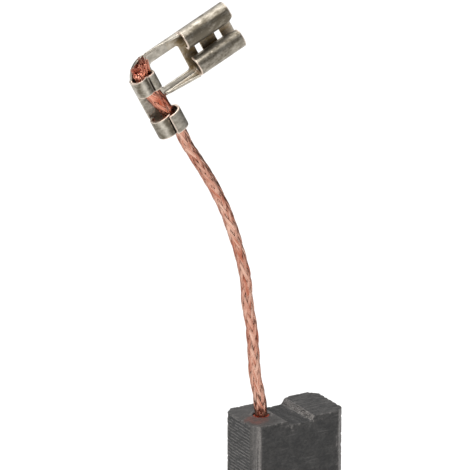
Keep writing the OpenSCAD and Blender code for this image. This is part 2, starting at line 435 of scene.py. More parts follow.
@dataclass(frozen=True)
class SheetFinish:
    """Plated sheet, dark with tarnish in places, with painted shade, a painted sheen and glint, a painted
    seam shadow and bare sheared edges.
    """

    bright: Colour = (0.62, 0.575, 0.50)
    # Dark tarnish colour, which also serves as painted shade.
    tarnish_and_shade: Colour = (0.150, 0.130, 0.098)
    sheared: Colour = (0.95, 0.80, 0.68)
    shadow: Colour = (0.022, 0.018, 0.014)
    tan: Colour = (0.235, 0.170, 0.090)
    turn: Point = (math.radians(90), math.radians(-TERMINAL_TILT), math.radians(TERMINAL_TURN))
    streak: Point = (MM * 2.2, MM * 0.8, MM * 0.8)
    relief_height: float = 0.06

    def material(self) -> bpy.types.Material:
        """Mixes the finish.

        Returns:
            The material.
        """
        g = Graph("plated_sheet")
        source = g.add("ShaderNodeTexCoord", output="Object")
        along = g.add(
            "ShaderNodeMapping", {"vector_type": "TEXTURE"},
            {"Vector": source, "Rotation": self.turn, "Scale": self.streak},
        )
        streak = g.add("ShaderNodeTexNoise", {}, {"Vector": along, "Scale": 2.2, "Detail": 3.0})
        cloud = g.noise(0.55, 2.0)
        fine = g.noise(4.5, 3.0)
        patch = cloud.ramp(0.35, 0.65) * 0.35 + streak.ramp(0.38, 0.62) * 0.40
        patch = patch + fine.ramp(0.35, 0.65) * 0.25
        # Per-vertex tarnish with painted shade, sheen and glint.
        smoke_and_shade = g.attribute("smoke_and_shade")
        shade = (smoke_and_shade * 0.75 + patch * 0.75 - 0.12).clamped()
        tarnish_and_shade = g.mixed(g.attribute("tan").clamped(), self.tarnish_and_shade, self.tan)
        body = g.mixed(shade, self.bright, tarnish_and_shade)
        # Painted seam shadow beside the upper wing.
        body = g.mixed(g.attribute("gap_shade").clamped(), body, self.shadow)
        rim = g.attribute("rim").clamped()
        body = g.mixed(rim * 0.85, body, self.sheared)
        rough = 0.26 + patch * 0.14 + smoke_and_shade * 0.13
        return g.finish(body, rough, 1.0, streak * 0.5 + fine * 0.25, self.relief_height)


# ---------------------------------------------------------------- workshop


def deselect() -> None:
    """Leaves object mode with nothing selected."""
    if bpy.context.object and bpy.context.object.mode != "OBJECT":
        bpy.ops.object.mode_set(mode="OBJECT")
    bpy.ops.object.select_all(action="DESELECT")


def chosen(*objects: bpy.types.Object) -> bpy.types.Object:
    """Selects these objects alone.

    Args:
        objects: Objects to select; the first becomes the active one.

    Returns:
        The active object.
    """
    deselect()
    for one in objects:
        one.select_set(True)
    bpy.context.view_layer.objects.active = objects[0]
    return objects[0]


@dataclass
class Workpiece:
    """A mesh on the bench, in millimetres, shaped one operator after another."""

    item: bpy.types.Object

    @classmethod
    def start(
        cls, primitive: Primitive, name: str, extent: Point, middle: Point, **how: object
    ) -> "Workpiece":
        """Puts a primitive on the bench.

        Args:
            primitive: Shape that it starts from.
            name: Name of the piece.
            extent: Scale along each axis.
            middle: Place of its middle.
            how: Other settings of the operator.

        Returns:
            The new workpiece.
        """
        deselect()
        operator = getattr(bpy.ops.mesh, f"primitive_{primitive.value}_add")
        operator(location=middle, **how)
        item = bpy.context.object
        item.name = item.data.name = name
        item.scale = extent
        bpy.ops.object.transform_apply(location=True, rotation=True, scale=True)
        return cls(item)

    @classmethod
    def prism(cls, name: str, outline: Sequence[Point], reach: Point) -> "Workpiece":
        """Extrudes a flat outline into a closed solid.

        Args:
            name: Name of the piece.
            outline: Points of one end, in order.
            reach: Step from that end to the other.

        Returns:
            The new workpiece.
        """
        corners = {"vertices": len(outline), "fill_type": "NGON"}
        piece = cls.start(Primitive.CIRCLE, name, (1, 1, 1), (0, 0, 0), **corners)
        for vertex, point in zip(piece.item.data.vertices, outline):
            vertex.co = point
        piece.pick(Pick.FACE, lambda m: True)
        bpy.ops.mesh.extrude_region_move(TRANSFORM_OT_translate={"value": reach})
        return piece.sealed()

    def pick(self, kind: Pick, test: Callable[[Vector], bool]) -> "Workpiece":
        """Selects elements in edit mode by the place of their middle.

        Args:
            kind: Kind of element.
            test: Says which middles are taken.

        Returns:
            This workpiece, in edit mode.
        """
        chosen(self.item)
        bpy.ops.object.mode_set(mode="EDIT")
        bpy.ops.mesh.select_mode(type=kind.value)
        bpy.ops.mesh.select_all(action="DESELECT")
        shape = bmesh.from_edit_mesh(self.item.data)
        groups = {Pick.VERT: shape.verts, Pick.EDGE: shape.edges, Pick.FACE: shape.faces}
        for part in groups[kind]:
            if kind is Pick.VERT:
                middle = part.co
            else:
                middle = sum((v.co for v in part.verts), Vector()) / len(part.verts)
            if test(middle):
                part.select_set(True)
        shape.select_flush_mode()
        bmesh.update_edit_mesh(self.item.data)
        return self

    def done(self) -> "Workpiece":
        """Leaves edit mode."""
        bpy.ops.object.mode_set(mode="OBJECT")
        return self

    def sealed(self) -> "Workpiece":
        """Merges doubled vertices and turns the faces outwards, then leaves edit mode.

        Returns:
            This workpiece.
        """
        self.pick(Pick.VERT, lambda m: True)
        bpy.ops.mesh.remove_doubles(threshold=1e-5)
        bpy.ops.mesh.normals_make_consistent(inside=False)
        return self.done()

    def modify(self, kind: str, **settings: object) -> "Workpiece":
        """Adds a modifier and applies it.

        Args:
            kind: Type of the modifier.
            settings: Its settings.

        Returns:
            This workpiece.
        """
        chosen(self.item)
        modifier = self.item.modifiers.new(kind.lower(), kind)
        for name, value in settings.items():
            setattr(modifier, name, value)
        bpy.ops.object.modifier_apply(modifier=modifier.name)
        return self

    def cut(self, *tools: "Workpiece") -> "Workpiece":
        """Takes the shapes of tools away and clears them off the bench.

        Args:
            tools: Closed workpieces.

        Returns:
            This workpiece.
        """
        for tool in tools:
            self.modify("BOOLEAN", operation="DIFFERENCE", object=tool.item, solver="EXACT")
            bpy.data.objects.remove(tool.item)
        return self

    def joined(self, others: Iterable["Workpiece"]) -> "Workpiece":
        """Joins other workpieces to this one.

        Args:
            others: Workpieces that go into it.

        Returns:
            This workpiece.
        """
        chosen(self.item, *(o.item for o in others))
        bpy.ops.object.join()
        return self

    def numbers(self, name: str, values: Sequence[float]) -> "Workpiece":
        """Stores one number for each vertex.

        Args:
            name: Name that a finish reads it by.
            values: The numbers, in the order of the vertices.

        Returns:
            This workpiece.
        """
        layer = self.item.data.attributes.new(name, "FLOAT", "POINT")
        layer.data.foreach_set("value", list(values))
        return self

    def dress(
        self, slot: Slot, finish: bpy.types.Material, place: Matrix | None = None, smooth: float = 180.0
    ) -> bpy.types.Object:
        """Sets the piece in its place in metres, shades it and gives it its finish.

        Args:
            slot: Material slot of the record; not used.
            finish: Material of the piece.
            place: Transform from the bench to the brush, in millimetres.
            smooth: Angle under which faces are shaded as one, in degrees.

        Returns:
            The finished object, with its place in its mesh.
        """
        self.item.data.transform(Matrix.Scale(MM, 4) @ (place or Matrix.Identity(4)))
        self.item.data.materials.clear()
        self.item.data.materials.append(finish)
        chosen(self.item)
        bpy.ops.object.shade_smooth_by_angle(angle=math.radians(smooth))
        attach(self.item, "root")
        LOG.info("%s: %d faces", self.item.name, len(self.item.data.polygons))
        return self.item


def raw_mesh(name: str, points: Sequence[Vector], faces: Sequence[Sequence[int]]) -> Workpiece:
    """Makes a workpiece from points and faces.

    Args:
        name: Name of the piece.
        points: Its vertices, in millimetres.
        faces: Indices of each face's vertices.

    Returns:
        The workpiece.
    """
    data = bpy.data.meshes.new(name)
    data.from_pydata([tuple(p) for p in points], [], [tuple(f) for f in faces])
    data.update()
    item = bpy.data.objects.new(name, data)
    bpy.context.scene.collection.objects.link(item)
    return Workpiece(item)


def wavy(place: float, seed: int, spacing: float) -> float:
    """Returns a smooth random value between about -1 and 1 along a line."""
    row, level, gain = 7.31 * seed, 0.37, 1.6
    return noise.noise(Vector((place / spacing, row, level))) * gain


def bend(middle: tuple[float, float], radius: float, start: float, end: float, steps: int = 14) -> Path:
    """Returns points along a bend.

    Args:
        middle: Middle of the bend in its section.
        radius: Radius of the sheet's middle.
        start: First angle, in degrees.
        end: Last angle, in degrees.
        steps: Number of facets.

    Returns:
        The points.
    """
    turns = [math.radians(start + (end - start) * k / steps) for k in range(steps + 1)]
    return [(middle[0] + radius * math.cos(a), middle[1] + radius * math.sin(a)) for a in turns]


def flipped(path: Path) -> Path:
    """Returns the path on the other side, run the other way."""
    return [(-x, y) for x, y in reversed(path)]


# ---------------------------------------------------------------- layout


@dataclass
class Layout:
    """Places that the pieces share, in millimetres."""

    block_w: float = 12.5
    block_t: float = 7.1
    block_h: float = 20.0
    bore_x: float = -3.2
    lead_d: float = 1.4
    lead_fit: float = 0.03
    lead_bottom: float = 13.5
    powder_top: float = 19.65
    tilt: float = TERMINAL_TILT
    turn: float = TERMINAL_TURN
    free_route: tuple[tuple[float, float], ...] = (
        (0, 0), (-0.2, 2), (-0.8, 5), (-1.05, 8), (-1.3, 11), (-1.85, 14), (-2.1, 17),
        (-2.8, 20), (-3.75, 23), (-4.9, 26), (-6.4, 29), (-8.2, 32), (-9.7, 34.3), (-10.8, 36.5),
    )
    crimp_route: tuple[Point, ...] = (
        (-4.55, -6.9, 1), (-4.7, -5.7, 1), (-4.8, -4.4, 0.86), (-5.0, -2.9, 0.76),
        (-5.35, -1.3, 0.75), (-5.55, 0, 0.75), (-5.4, 1, 0.85), (-4.8, 1.65, 1),
    )

    @property
    def mouth(self) -> Vector:
        """Middle of the bore's mouth."""
        return Vector((self.bore_x, 0.0, self.block_h))

    def above_sheet(self, share: float) -> float:
        """Returns the height of the lead's middle over the sheet, pressed to a share of its height."""
        return self.lead_d / 2 * share + self.lead_fit

    def terminal(self) -> Matrix:
        """Sets the terminal's end of the lead on the end of the free lead.

        Returns:
            The transform from the terminal's own frame to the brush's.
        """
        x, y, share = self.crimp_route[0]
        end = self.free_route[-1]
        return (
            Matrix.Translation(self.mouth + Vector((end[0], 0.0, end[1])))
            @ Matrix.Rotation(math.radians(self.turn), 4, "Z")
            @ Matrix.Rotation(math.radians(-self.tilt), 4, "Y")
            @ Matrix.Rotation(math.radians(90), 4, "X")
            @ Matrix.Translation(-Vector((x, y, self.above_sheet(share))))
        )

    def lead_line(self) -> list[tuple[Vector, float]]:
        """Strings the lead's buried, free and crimped stretches together.

        Returns:
            The points of its middle line, each with its share of height.
        """
        place = self.terminal()
        heights = (self.lead_bottom, (self.lead_bottom + self.powder_top) / 2, self.powder_top)
        line = [(Vector((self.bore_x, 0.0, z)), 1.0) for z in heights]
        line += [(self.mouth + Vector((x, 0.0, z)), 1.0) for x, z in self.free_route]
        line += [
            (place @ Vector((x, y, self.above_sheet(s))), s) for x, y, s in self.crimp_route[1:]
        ]
        return line


# ---------------------------------------------------------------- lead


@dataclass(frozen=True)
class Ripple:
    """Smooth random change along the lead, apart for each bundle or strand."""

    seed: int
    spacing: float
    size: float

    def at(self, run: float, index: int = 0) -> float:
        """Returns the change at a place of the bundle or strand with this index."""
        return self.size * wavy(run, self.seed + index, self.spacing)


@dataclass
class Station:
    """One cross-section of the lead."""

    run: float
    middle: Vector
    across: Vector
    over: Vector
    share: float


@dataclass
class Lead:
    """Round braid of flat wire bundles, pressed in the crimps and frayed at its end."""

    layout: Layout
    carriers: int = 16
    wires: int = 4
    lay: float = 17.0
    step: float = 0.17
    middle_r: float = 0.545
    weave: float = 0.07
    ribbon_w: float = 0.50
    ribbon_t: float = 0.12
    core_r: float = 0.49
    core_sides: int = 14
    # Painted shade on the core tube inside the braid.
    core_shade: float = 0.50
    seed: int = 11
    warm_low: float = 8.5
    warm_high: float = 9.5
    # Share of the painted shade between the strands near the bore and near the crimps:
    bore_end_shade: float = 0.55
    crimp_end_shade: float = 0.75
    squareness: float = 1.7
    crown: float = 0.35
    wire_lift: float = 0.5
    # Painted shade under crossings, in the valleys between wires, at the ribbon's edges and on its
    # underside:
    dip_shade: float = 0.13
    valley_shade: float = 0.50
    edge_shade: float = 0.16
    under_shade: float = 0.9
    under_w: float = 0.84
    middle_tone: float = 0.45
    bundle_share: float = 0.4
    thickness: Ripple = Ripple(3, 2.6, 0.03)
    slack: Ripple = Ripple(20, 1.9, 0.035)
    wander: Ripple = Ripple(50, 3.1, 0.16)
    breadth: Ripple = Ripple(80, 2.2, 0.30)
    bundle_tone: Ripple = Ripple(110, 1.8, 0.7)
    strand_tone: Ripple = Ripple(1000, 1.5, 0.8)
    strand_rows: int = 20
    swells: tuple[tuple[float, float], ...] = (
        (6.5, 1.12), (9.0, 1.08), (12.0, 1.03), (20.0, 1.0), (24.0, 0.95), (60.0, 0.95),
    )

    def line(self) -> list[tuple[Vector, float]]:
        """Draws a smooth curve through the layout's points.

        Returns:
            The points of the middle line, each with its share of height.
        """
        knots = self.layout.lead_line()
        points = [knots[0]] + knots + [knots[-1]]
        smooth: list[tuple[Vector, float]] = []
        for i in range(1, len(points) - 2):
            a, b, c, d = (points[i + k][0] for k in (-1, 0, 1, 2))
            parts = max(2, round((c - b).length / self.step))
            for k in range(parts):
                t = k / parts
                spot = 0.5 * (
                    2 * b + (c - a) * t + (2 * a - 5 * b + 4 * c - d) * t * t
                    + (3 * b - a - 3 * c + d) * t ** 3
                )
                smooth.append((spot, points[i][1] * (1 - t) + points[i + 1][1] * t))
        return smooth + [knots[-1]]

    def stations(self) -> list[Station]:
        """Cuts the middle line into cross-sections.

        Returns:
            The cross-sections, from the buried end to the frayed one.
        """
        line = self.line()
        found: list[Station] = []
        run = 0.0
        for i, (spot, share) in enumerate(line):
            before, after = line[max(i - 1, 0)][0], line[min(i + 1, len(line) - 1)][0]
            heading = (after - before).normalized()
            across = heading.cross(Vector((0, 1, 0))).normalized()
            if i:
                run += (spot - line[i - 1][0]).length
            found.append(Station(run, spot, across, heading.cross(across), share))
        return found

    def at(self, station: Station, angle: float, radius: float) -> Vector:
        """Finds a point of a cross-section, flattened where the lead is pressed.

        Args:
            station: The cross-section.
            angle: Angle round the lead.
            radius: Distance from its middle where it is round.

        Returns:
            The point.
        """
        wide = radius * math.cos(angle) / station.share
        high = radius * math.sin(angle) * station.share
        return station.middle + station.across * wide + station.over * high

    def swell(self, run: float) -> float:
        """Finds the lead's thickness at a place.

        Args:
            run: Distance along the lead.

        Returns:
            The thickness as a share of its middle radius.
        """
        share = self.swells[0][1]
        for (start, before), (end, after) in zip(self.swells, self.swells[1:]):
            if run > start:
                share = before + (after - before) * min(1.0, (run - start) / (end - start))
        return share + self.thickness.at(run)

    def ribbon_ring(self, carrier: int, station: Station) -> tuple[list[Vector], list[float]]:
        """Cuts one bundle at a cross-section.

        Args:
            carrier: Number of the bundle; the first half runs one way round.
            station: The cross-section.

        Returns:
            The ring's points and the painted shade of each, by its depth under the lead's surface.
        """
        half = self.carriers // 2
        way = 1 if carrier < half else -1
        index = carrier % half
        crossing = 2 * half * station.run / self.lay
        phase = crossing + 2 * index if way > 0 else 2 * index - crossing
        height = way * math.tanh(self.squareness * math.sin(math.pi / 2 * (phase + 0.5)))
        angle = 2 * math.pi * index / half + way * 2 * math.pi * station.run / self.lay
        angle += self.wander.at(station.run, carrier)
        radius = self.middle_r * self.swell(station.run) + self.weave * height
        radius += self.slack.at(station.run, carrier)
        width = self.ribbon_w * (1 + self.breadth.at(station.run, carrier))
        points, depths = [], []
        for k in range(2 * self.wires + 1):
            side = (k / (2 * self.wires) - 0.5) * width
            peak = k % 2
            crown = self.crown * self.ribbon_t * (1 - (2 * side / width) ** 2)
            lift = crown + (self.ribbon_t * self.wire_lift if peak else 0.0)
            points.append(self.at(station, angle + way * side / self.middle_r, radius + lift))
            # Painted shade under a crossing, in the valleys between wires and at the ribbon's edges.
            edge = abs(2 * side / width)
            valley = 0.0 if peak else self.valley_shade
            depths.append(self.dip_shade * (1 - height) + valley + self.edge_shade * edge ** 3)
        for side in (self.under_w / 2, -self.under_w / 2):
            turn = way * side * width / self.middle_r
            points.append(self.at(station, angle + turn, radius - self.ribbon_t / 2))
            # Painted shade on the underside.
            depths.append(self.under_shade)
        return points, depths

    def core_ring(self, station: Station) -> tuple[list[Vector], list[float]]:
        """Cuts the core, painted dark as shade, at a cross-section.

        Args:
            station: The cross-section.

        Returns:
            The ring's points and the painted shade of each.
        """
        radius = self.core_r * self.swell(station.run)
        turns = [-2 * math.pi * k / self.core_sides for k in range(self.core_sides)]
        return [self.at(station, a, radius) for a in turns], [self.core_shade] * self.core_sides

    def strand_shade_share(self, run: float, last: float) -> float:
        """Finds how much of the painted shade between the strands is left, less near both ends.

        Args:
            run: Distance along the lead.
            last: Length of the lead.

        Returns:
            The share that is left.
        """
        if run < self.warm_low:
            return self.bore_end_shade
        return self.crimp_end_shade if run > last - self.warm_high else 1.0

    def build(self) -> tuple[bpy.types.Object, list[Vector]]:
        """Braids the lead.

        Returns:
            The finished piece and its middle line, in millimetres.
        """
        draw = random.Random(self.seed)
        stations = self.stations()
        points: list[Vector] = []
        faces: list[list[int]] = []
        depths: list[float] = []
        shades: list[float] = []
        warmths: list[float] = []
        last = stations[-1].run
        for carrier in range(self.carriers + 1):
            shade = draw.random()
            first = len(points)
            for station in stations:
                run = station.run
                bundle = carrier < self.carriers
                ring, depth = self.ribbon_ring(carrier, station) if bundle else self.core_ring(station)
                points += ring
                # Painted shade between the strands, less near both ends.
                depths += [self.strand_shade_share(run, last) * d for d in depth]
                for k in range(len(ring)):
                    strand = self.strand_rows * carrier + k // 2
                    tone = self.middle_tone + self.bundle_tone.at(run, carrier)
                    tone += self.strand_tone.at(run, strand)
                    shades.append(self.bundle_share * shade + (1 - self.bundle_share) * tone)
                bound = max(self.warm_low - run, run - last + self.warm_high, 0.0)
                warmths += [min(1.0, bound / 2)] * len(ring)
            faces += self.skin(first, len(stations), len(ring))
        piece = raw_mesh("lead_braid", points, faces)
        piece.numbers("depth", depths).numbers("shade", shades).numbers("warmth", warmths)
        piece.sealed()
        return piece.dress(Slot.BRAID, CopperFinish().material()), [s.middle for s in stations]

    @staticmethod
    def skin(first: int, rings: int, size: int) -> list[list[int]]:
        """Returns the faces of a closed tube of rings.

        Args:
            first: Index of its first vertex.
            rings: Number of rings.
            size: Vertices in each ring.

        Returns:
            Side faces and the two ends.
        """
        faces = [
            [a, a + size, b + size, b]
            for r in range(rings - 1)
            for k in range(size)
            for a, b in [(first + r * size + k, first + r * size + (k + 1) % size)]
        ]
        last = first + (rings - 1) * size
        faces.append([first + k for k in range(size)])
        faces.append([last + k for k in range(size - 1, -1, -1)])
        return faces


@dataclass(frozen=True)
class Clump:
    """Wires that stand out together."""

    start: Point
    end: Point
    spread: float
    wires: int
    thickness: float = 1.0


@dataclass
class Fray:
    """Cut ends of the wires, standing out of the conductor crimp in clumps."""

    layout: Layout
    wire_d: float = 0.12
    seed: int = 5
    joints: int = 5
    lean: float = 0.25
    root_spread: float = 0.75
    tip_spread: float = 1.05
    lengths: tuple[float, float] = (0.82, 1.08)
    bow: float = 0.10
    floor: float = 0.08
    left: float = -5.4
    # Painted shade on the wires: more on the right clump, most at the roots, and again past the line of the
    # tips:
    left_shade: float = 0.12
    right_shade: float = 0.28
    root_shade: float = 0.8
    shade_slope: float = 0.7
    tips: float = 1.9
    shade_scale: float = 4.0
    clumps: tuple[Clump, ...] = (
        Clump((-5.9, 0.35, 0.75), (-6.0, 1.55, 1.40), 0.55, 64),
        Clump((-5.1, 0.40, 0.75), (-4.75, 2.30, 1.05), 0.62, 90),
        Clump((-5.6, 0.60, 0.50), (-5.6, 2.15, 0.55), 0.55, 40),
        Clump((-4.9, 1.00, 0.80), (-4.55, 2.80, 0.85), 0.50, 46, 0.5),
        Clump((-5.8, 0.90, 0.60), (-5.85, 2.30, 0.65), 0.40, 24, 0.5),
    )

    def lay_wire(self, curve: bpy.types.Curve, clump: Clump, draw: random.Random) -> None:
        """Adds one wire of a clump.

        Args:
            curve: Curve that the wire goes into.
            clump: Its clump.
            draw: Source of its random place, length and bow.
        """
        angle, reach = draw.uniform(0, 2 * math.pi), math.sqrt(draw.random())
        offset = Vector((math.cos(angle), self.lean * draw.uniform(-1, 1), math.sin(angle))) * reach
        stretch = draw.uniform(*self.lengths)
        root, tip = Vector(clump.start), Vector(clump.end)
        begin = root + offset * clump.spread * self.root_spread
        finish = root.lerp(tip, stretch) + offset * clump.spread * self.tip_spread
        bow = Vector((draw.uniform(-1, 1), 0.0, draw.uniform(-0.4, 1))) * self.bow
        spline = curve.splines.new("POLY")
        spline.points.add(self.joints)
        for k, point in enumerate(spline.points):
            t = k / self.joints
            spot = begin.lerp(finish, t) + bow * math.sin(math.pi * t)
            point.co = (spot.x, spot.y, max(spot.z, self.floor), 1.0)
            point.radius = clump.thickness

    def depth(self, spot: Vector, low: float) -> float:
        """Finds the painted shade on a wire at a point: most at its root, and again past the line of the
        tips.

        Args:
            spot: The point.
            low: Where the wires begin.

        Returns:
            The painted shade, 0 for bright copper.
        """
        side = self.left_shade if spot.x < self.left else self.right_shade
        root = self.root_shade - self.shade_slope * (spot.y - low)
        return max(side, root, self.shade_slope * (spot.y - self.tips))

    def build(self) -> bpy.types.Object:
        """Lays the wires as curves and makes them a mesh.

        Returns:
            The finished piece.
        """
        draw = random.Random(self.seed)
        curve = bpy.data.curves.new("lead_fray", "CURVE")
        curve.dimensions = "3D"
        curve.bevel_depth = self.wire_d / 2
        curve.bevel_resolution = 1
        curve.use_fill_caps = True
        for clump in self.clumps:
            for _ in range(clump.wires):
                self.lay_wire(curve, clump, draw)
        item = bpy.data.objects.new("lead_fray", curve)
        bpy.context.scene.collection.objects.link(item)
        chosen(item)
        bpy.ops.object.convert(target="MESH")
        piece = Workpiece(bpy.context.object)
        shape = piece.item.data
        low = min(v.co.y for v in shape.vertices)
        # Painted shade on the wires.
        piece.numbers("depth", [self.depth(v.co, low) for v in shape.vertices])
        piece.numbers("warmth", [1.0] * len(shape.vertices))
        shades = [0.5 + 0.5 * noise.noise(v.co * self.shade_scale) for v in shape.vertices]
        piece.numbers("shade", shades)
        return piece.dress(Slot.BRAID, CopperFinish().material(), self.layout.terminal())


# ---------------------------------------------------------------- block and powder


@dataclass(frozen=True)
class Zone:
    """How the graphite's finish differs on one of the block's planes, painted shade and highlight included.
    """

    # Burnished wear, and a painted highlight on the chamfer:
    polish_and_sheen: float = 0.0
    # Tone per plane; below zero it is painted shade, on the groove's floor also dirt:
    lift: float = 0.0
    groove: float = 0.0
    grit: float = 0.0


# Painted highlight on the chamfer; the groove's floor darker with dirt and painted shade; painted shade on
# the steep wall and in the bore:
ZONES = {
    Plane.CHAMFER: Zone(polish_and_sheen=1.25),
    Plane.FLOOR: Zone(lift=-0.40, groove=0.8, grit=0.10),
    Plane.STEEP: Zone(lift=-0.34, groove=0.5),
    Plane.INCLINE: Zone(polish_and_sheen=0.45, lift=0.16, groove=1.0, grit=0.7),
    Plane.BORE: Zone(lift=-0.2),
}


@dataclass
class CarbonBlock:
    """Graphite block with a spring groove, a bore and worn edges."""

    layout: Layout
    chamfer: float = 0.95
    groove_x: float = -1.75
    groove_w: float = 3.0
    groove_d: float = 0.7
    steep: float = 62.0
    slope: float = 58.0
    fall: float = 2.5
    fillet: float = 0.4
    rim: float = 0.15
    rim_x: float = 2.35
    bore_r: float = 1.25
    bore_depth: float = 7.5
    drill_point: float = 118.0
    grain: float = 0.105
    edge_reach: float = 0.4
    wear_depth: float = 0.20
    coarse_chips: float = 2.3
    fine_chips: float = 5.1
    chip_start: float = 0.12
    fine_start: float = 0.15
    groove_reach: float = 1.4
    groove_end: float = 3.0
    # How far the chamfer's painted highlight fades inwards:
    chamfer_sheen_fade: float = 0.9
    grit_fade: float = 0.12
    left_lift: float = 0.16
    # Painted shade on the top along the groove's rim:
    rim_shade: float = -0.34
    edge_bare: float = 0.25
    chip_bare: float = 9.0

    def groove_tool(self) -> Workpiece:
        """Makes the cutter of the spring groove: steep wall, floor, fillet, incline and rounded rim.

        Returns:
            The cutter.
        """
        past, outlet = 1.0, 15.0
        half_turn = math.tan(math.radians(self.slope / 2))
        lean = 1 / math.tan(math.radians(self.steep))
        toe = self.groove_x + self.groove_d * lean
        foot = toe + self.groove_w
        rim_x = foot + self.groove_d / math.tan(math.radians(self.slope)) + self.rim * half_turn
        profile = [(self.groove_x - past * lean, past), (toe, -self.groove_d)]
        middle = (foot - self.fillet * half_turn, self.fillet - self.groove_d)
        profile += bend(middle, self.fillet, -90, self.slope - 90, 6)
        profile += bend((rim_x, -self.rim), self.rim, 90 + self.slope, 90 + outlet, 6)
        profile.append((rim_x + past / math.tan(math.radians(outlet)), past))
        tool = Workpiece.prism("groove_tool", [(x, -15.0, z) for x, z in profile], (0.0, 30.0, 0.0))
        turn = Matrix.Rotation(math.radians(-self.fall), 4, "X")
        tool.item.data.transform(Matrix.Translation((0, 0, self.layout.block_h)) @ turn)
        return tool

    def bore_tool(self) -> Workpiece:
        """Makes the cutter of the bore, with its drill point.

        Returns:
            The cutter.
        """
        low, high = self.layout.block_h - self.bore_depth, self.layout.block_h + 2
        middle = (self.layout.bore_x, 0.0, (low + high) / 2)
        size = (1.0, 1.0, high - low)
        form = {"radius": self.bore_r, "depth": 1.0, "vertices": 48}
        tool = Workpiece.start(Primitive.CYLINDER, "bore_tool", size, middle, **form)
        tool.pick(Pick.FACE, lambda m: m.z < low + 0.01)
        bpy.ops.mesh.merge(type="CENTER")
        point = self.bore_r / math.tan(math.radians(self.drill_point / 2))
        bpy.ops.transform.translate(value=(0.0, 0.0, -point))
        return tool.done()

    def distances(self, spot: Vector) -> dict[Plane, float]:
        """Finds how far a point lies from each plane of the block.

        Args:
            spot: A point of the surface.

        Returns:
            Distance to each plane that may be near.
        """
        half_w, half_t = self.layout.block_w / 2, self.layout.block_t / 2
        tall = self.layout.block_h
        x, y = abs(spot.x), abs(spot.y)
        found = {
            Plane.SIDE: half_w - x,
            Plane.FACE: half_t - y,
            Plane.TOP: tall - spot.z,
            Plane.FOOT: spot.z,
            Plane.CHAMFER: (half_w + half_t - self.chamfer - x - y) / math.sqrt(2),
        }
        if spot.z > tall - self.groove_reach:
            if self.groove_x - 0.3 < spot.x < self.groove_end:
                level = tall - self.groove_d - spot.y * math.sin(math.radians(self.fall))
                found[Plane.FLOOR] = spot.z - level
                left = self.groove_x + self.groove_d / math.tan(math.radians(self.steep))
                right = left + self.groove_w
                walls = ((Plane.STEEP, left, 180 - self.steep), (Plane.INCLINE, right, self.slope))
                for plane, toe, slope in walls:
                    lean = math.radians(slope)
                    found[plane] = (spot.x - toe) * math.sin(lean) - (spot.z - level) * math.cos(lean)
            found[Plane.BORE] = math.hypot(spot.x - self.layout.bore_x, spot.y) - self.bore_r
        return {plane: abs(value) for plane, value in found.items()}

    def wear(self, spot: Vector) -> tuple[float, float]:
        """Finds the wear at a point.

        Args:
            spot: A point of the surface.

        Returns:
            How near an edge it lies, 0 to 1, and how deep it is worn there.
        """
        near = max(0.0, 1.0 - sorted(self.distances(spot).values())[1] / self.edge_reach)
        if near == 0.0:
            return 0.0, 0.0
        chips = max(0.0, noise.noise(spot * self.coarse_chips) - self.chip_start)
        chips += 0.5 * max(0.0, noise.noise(spot * self.fine_chips) - self.fine_start)
        return near, near * self.wear_depth * chips

    def zone(self, spot: Vector) -> Zone:
        """Finds the finish at a point, painted shade and highlight included.

        Args:
            spot: A point of the surface.

        Returns:
            The zone of the plane that it lies in, faded across some planes.
        """
        found = self.distances(spot)
        plane = min(found, key=found.get)
        zone = ZONES.get(plane, Zone())
        # Painted highlight on the chamfer, brightest by the wide face.
        if plane is Plane.CHAMFER:
            inward = min(1.0, (self.layout.block_t / 2 - abs(spot.y)) / self.chamfer)
            return replace(zone, polish_and_sheen=zone.polish_and_sheen - self.chamfer_sheen_fade * inward)
        if plane is Plane.INCLINE:
            return replace(zone, grit=zone.grit - self.grit_fade * spot.y)
        # Painted shade on the top along the groove's rim; lighter tone on the left plateau.
        if plane is Plane.TOP and spot.x < self.rim_x:
            return Zone(lift=self.left_lift if spot.x < self.groove_x else self.rim_shade)
        return zone

    def build(self) -> bpy.types.Object:
        """Cuts, rounds and wears the block.

        Returns:
            The finished piece.
        """
        size = (self.layout.block_w, self.layout.block_t, self.layout.block_h)
        middle = Vector((0.0, 0.0, self.layout.block_h / 2))
        block = Workpiece.start(Primitive.CUBE, "graphite_block", size, middle, size=1.0)
        block.pick(Pick.EDGE, lambda m: abs(m.x) > 1 and abs(m.y) > 1 and abs(m.z - middle.z) < 1)
        bpy.ops.mesh.bevel(offset=self.chamfer, segments=1, affect="EDGES")
        block.done()
        block.cut(self.groove_tool(), self.bore_tool())
        sharp = block.item.copy()
        sharp.data = block.item.data.copy()
        bpy.context.scene.collection.objects.link(sharp)
        block.modify("REMESH", mode="VOXEL", voxel_size=self.grain)
        block.modify("SHRINKWRAP", target=sharp, wrap_method="NEAREST_SURFACEPOINT")
        bpy.data.objects.remove(sharp)
        shape = block.item.data
        zones = [self.zone(v.co) for v in shape.vertices]
        worn = [self.wear(v.co) for v in shape.vertices]
        moved = [v.co - v.normal * depth for v, (_, depth) in zip(shape.vertices, worn)]
        bare = [min(1.0, self.edge_bare * near ** 3 + self.chip_bare * depth) for near, depth in worn]
        # Burnished edges and the chamfer's painted highlight, then painted shade in the recesses:
        block.numbers("polish_and_sheen", [max(zone.polish_and_sheen, edge) for zone, edge in zip(zones, bare)])
        block.numbers("lift", [zone.lift for zone in zones])
        block.numbers("groove", [zone.groove for zone in zones])
        block.numbers("grit", [zone.grit for zone in zones])
        shape.vertices.foreach_set("co", [c for spot in moved for c in spot])
        shape.update()
        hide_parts("carbon_block")
        return block.dress(Slot.GRAPHITE, GraphiteFinish().material())


